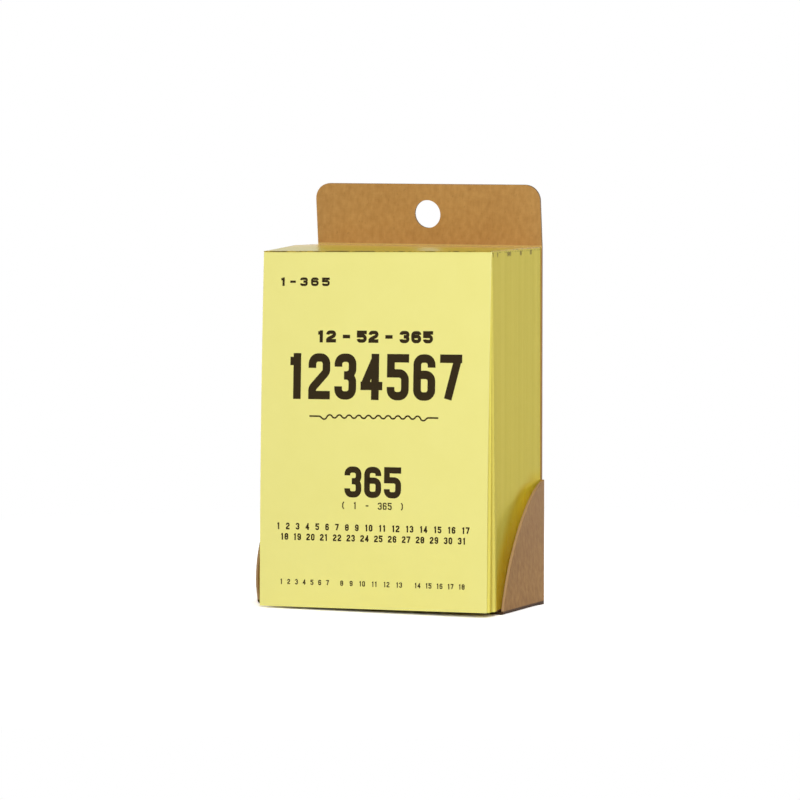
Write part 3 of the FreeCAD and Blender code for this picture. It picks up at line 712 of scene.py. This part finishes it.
# Each row: its text, then its middle, distance down, width, height and stroke in millimetres, the
# breadth of a mark as a share of its height, and the cuts that let its strokes follow the bow.
centred = middle / mm
rows = [([wave], rule_stroke, 0.9 * mm, 1)]
for text, across, down, wide, high, stroke, aspect, cuts in (
        ("1-365", 13, 8.3, 15.4, 2.4, 0.66, 1.0, 0),
        ("12 - 52 - 365", centred, 23.6, 35.7, 3.4, 1.0, 0.9, 0),
        ("1234567", centred, 34.8, 53.6, 12.9, 2.35, 0.52, 3),
        ("365", centred, 64.25, 17.4, 8.7, 1.75, 0.6, 2),
        ("( 1 - 365 )", centred, 70.85, 19, 2.0, 0.34, 0.6, 0),
        (counted(1, 17), centred, 77.05, 59.2, 1.9, 0.42, 0.6, 0),
        (counted(18, 31), centred, 80.0, 56.8, 1.9, 0.42, 0.6, 0),
        (counted(1, 7), 14.0, 92.7, 15.2, 1.5, 0.3, 0.6, 0),
        (counted(8, 13), 34.6, 92.7, 19.0, 1.5, 0.3, 0.6, 0),
        (counted(14, 18), 55.5, 92.7, 15.2, 1.5, 0.3, 0.6, 0)):
    strokes = row_of(text, across * mm, down * mm, wide * mm, high * mm, stroke * mm, aspect)
    rows.append((strokes, stroke * mm, 0.75 * stroke * mm, cuts))
cover_print = printed("cover_print", rows, ribbon_tree(), brown_ink())
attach(cover_print, "cover")


# ---- The table and the backdrop ----
# A plain pale sweep that the calendar stands on. It takes the calendar's soft shadow, and further
# out it runs into an even white. The glue's gloss mirrors what the eye sees of it.
def seen_or_mirrored(start):
    """1 for what the eye sees, directly or in a gloss, and 0 for the light that things get."""
    rays = start.node("ShaderNodeLightPath", out="Is Camera Ray")
    return rays.either(rays.other("Is Glossy Ray"))


def pale_table():
    """Pale grey to the light. To the eye it is near white, with the shadow, and white far out.

    What the eye sees near the calendar is lifted: it gives back more than any real surface does,
    so that the soft shadow stays on a table that looks white. A gloss mirrors it too, but it
    lights no piece otherwise.
    """
    pale, start, place = finish("pale_table")
    away = start.node("ShaderNodeVectorMath", {0: place.scaled((1.0, 1.0, 0.0))}, out=1,
                      operation="LENGTH").rise(0.12, 0.3)
    white, lifted, grey = (1.0, 1.0, 1.0, 1.0), (2.3, 2.3, 2.3, 1.0), (0.9, 0.9, 0.9, 1.0)
    near = start.node("ShaderNodeBsdfDiffuse", {"Color": lifted})
    far = start.node("ShaderNodeEmission", {"Color": white, "Strength": 1.0})
    bright = start.node("ShaderNodeMixShader", {0: away, 1: near, 2: far})
    plain = start.node("ShaderNodeBsdfDiffuse", {"Color": grey})
    shown = start.node("ShaderNodeMixShader", {0: seen_or_mirrored(start), 1: plain, 2: bright})
    start.node("ShaderNodeOutputMaterial", {"Surface": shown})
    return pale


def sweep():
    """A wide flat square, a hair below the holder's foot."""
    reach, low = 3.0, table - 0.02 * mm
    mesh = bpy.data.meshes.new("table_top")
    mesh.from_pydata([(-reach, -reach, low), (reach, -reach, low), (reach, reach, low),
                      (-reach, reach, low)], [], [(0, 1, 2, 3)])
    piece = bpy.data.objects.new("table_top", mesh)
    bpy.context.collection.objects.link(piece)
    mesh.materials.append(pale_table())
    return piece


sweep()

studio = bpy.data.worlds.new("studio")
studio.use_nodes = True
studio.node_tree.nodes.clear()
start = Wire(studio.node_tree)
ambient = 0.28
strength = ambient + (1.0 - ambient) * seen_or_mirrored(start)
light = start.node("ShaderNodeBackground", {"Color": (1.0, 1.0, 1.0, 1.0), "Strength": strength})
start.node("ShaderNodeOutputWorld", {"Surface": light})
bpy.context.scene.world = studio


# ---- The light and the camera ----
# A soft lamp in front, a little to the right and above. A second stands low behind, grazes the
# pad's right side and throws the ear's shadow on it. A weak third one fills the left side.
centre = Vector((0.0, -16.1 * mm, -50.5 * mm))


def facing(direction):
    """The turn that makes a lamp or a camera look back along a direction."""
    return Vector(direction).to_track_quat("Z", "Y").to_euler()


def soft_lamp(name, direction, size, power):
    """A square lamp a metre away, turned to the calendar."""
    lamp = bpy.data.lights.new(name, "AREA")
    lamp.size = size
    lamp.energy = power
    stand = bpy.data.objects.new(name, lamp)
    stand.location = centre + Vector(direction).normalized()
    stand.rotation_euler = facing(direction)
    bpy.context.collection.objects.link(stand)


soft_lamp("front_lamp", (0.42, -0.88, 0.36), 0.5, 5.8)
soft_lamp("rear_lamp", (0.28, 0.95, 0.06), 0.2, 7.6)
soft_lamp("left_lamp", (-0.95, 0.25, 0.35), 0.8, 2.5)

azimuth, elevation, distance = math.radians(24.306), math.radians(3.618), 1.35
towards_camera = Vector((math.sin(azimuth) * math.cos(elevation),
                         -math.cos(azimuth) * math.cos(elevation), math.sin(elevation)))
lens = bpy.data.cameras.new("camera")
lens.sensor_width = 36.0
lens.lens = 214.38
lens.shift_x, lens.shift_y = -0.00544, -0.00797
lens.clip_end = 20.0
camera = bpy.data.objects.new("camera", lens)
camera.location = centre + distance * towards_camera
camera.rotation_euler = facing(towards_camera)
bpy.context.collection.objects.link(camera)
bpy.context.scene.camera = camera
bpy.context.scene.view_settings.view_transform = "Standard"
